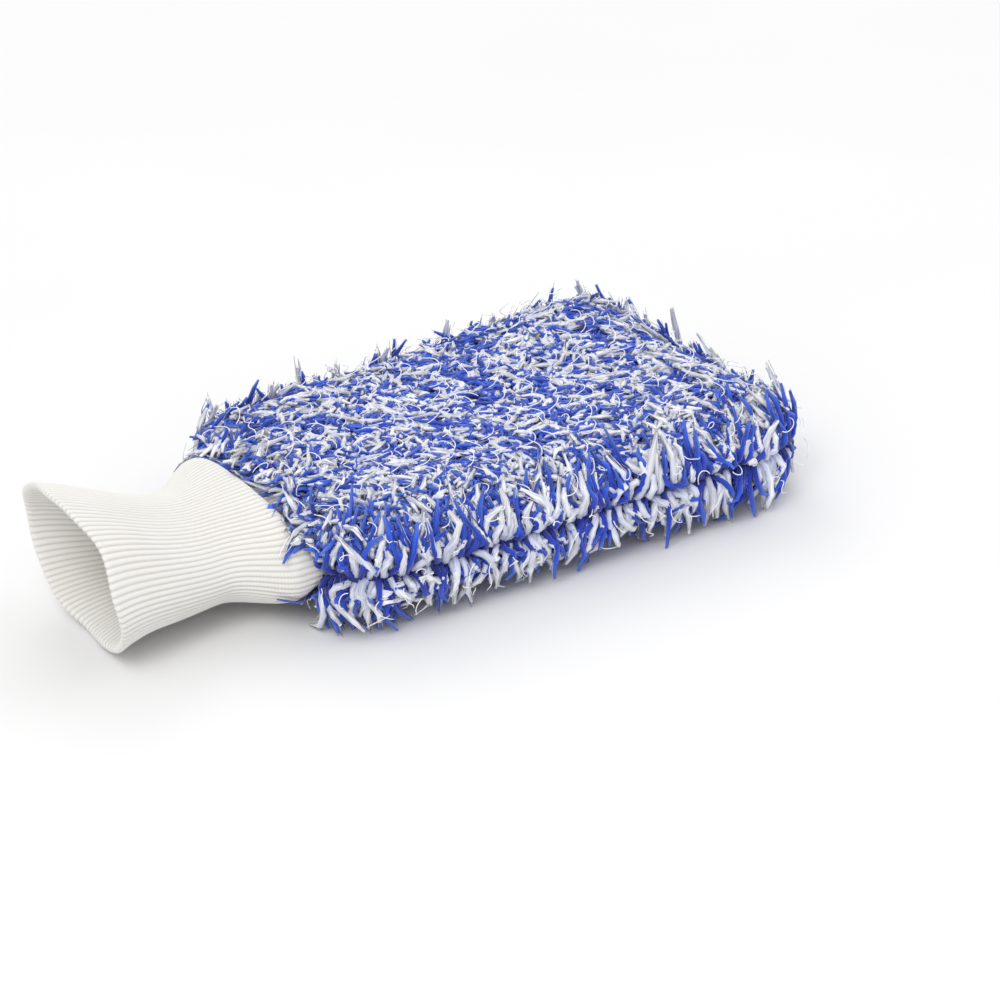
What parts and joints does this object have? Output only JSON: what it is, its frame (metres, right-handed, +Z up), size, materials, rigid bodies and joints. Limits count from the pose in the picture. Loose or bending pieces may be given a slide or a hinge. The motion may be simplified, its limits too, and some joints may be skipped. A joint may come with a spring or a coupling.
{
  "type": "wash mitt",
  "caption": "Padded wash mitt with a shaggy blue and white pile on both faces, a lined hand pocket and a flared rib-knit wrist cuff.",
  "frame": {"origin": "centre of the flat underside that the body rests on", "axes": "+X towards the fingertip end, the cuff is at -X, Y across the palm, +Z up from the underside to the other face"},
  "size_m": [0.3291, 0.2, 0.0716],
  "materials": {
    "pile": "shaggy twisted microfibre pile, blue and white tufts mixed",
    "backing_cloth": "plain knitted backing",
    "foam": "soft open-cell foam",
    "lining": "fine matt lining",
    "seam_thread": "spun sewing thread",
    "rib_knit": "matt off-white rib knit"
  },
  "bodies": {
    "mitt": {"top_pile": "pile", "bottom_pile": "pile", "top_backing_cloth": "backing_cloth", "bottom_backing_cloth": "backing_cloth", "top_foam_sheet": "foam", "bottom_foam_sheet": "foam", "top_lining": "lining", "bottom_lining": "lining", "side_seam_thread": "seam_thread", "cuff_join_thread": "seam_thread", "knit_neck": "rib_knit"},
    "cuff": {"knit_cuff": "rib_knit"}
  },
  "joints": [
    {"name": "cuff_bend", "type": "hinge", "parent": "mitt", "child": "cuff", "pos_m": [-0.14915, 0, 0.028], "axis": [0, 1, 0], "range_deg": [-30, 45], "stiffness_Nm_per_rad": 0.15, "deforming": ["knit_neck"]}
  ]
}
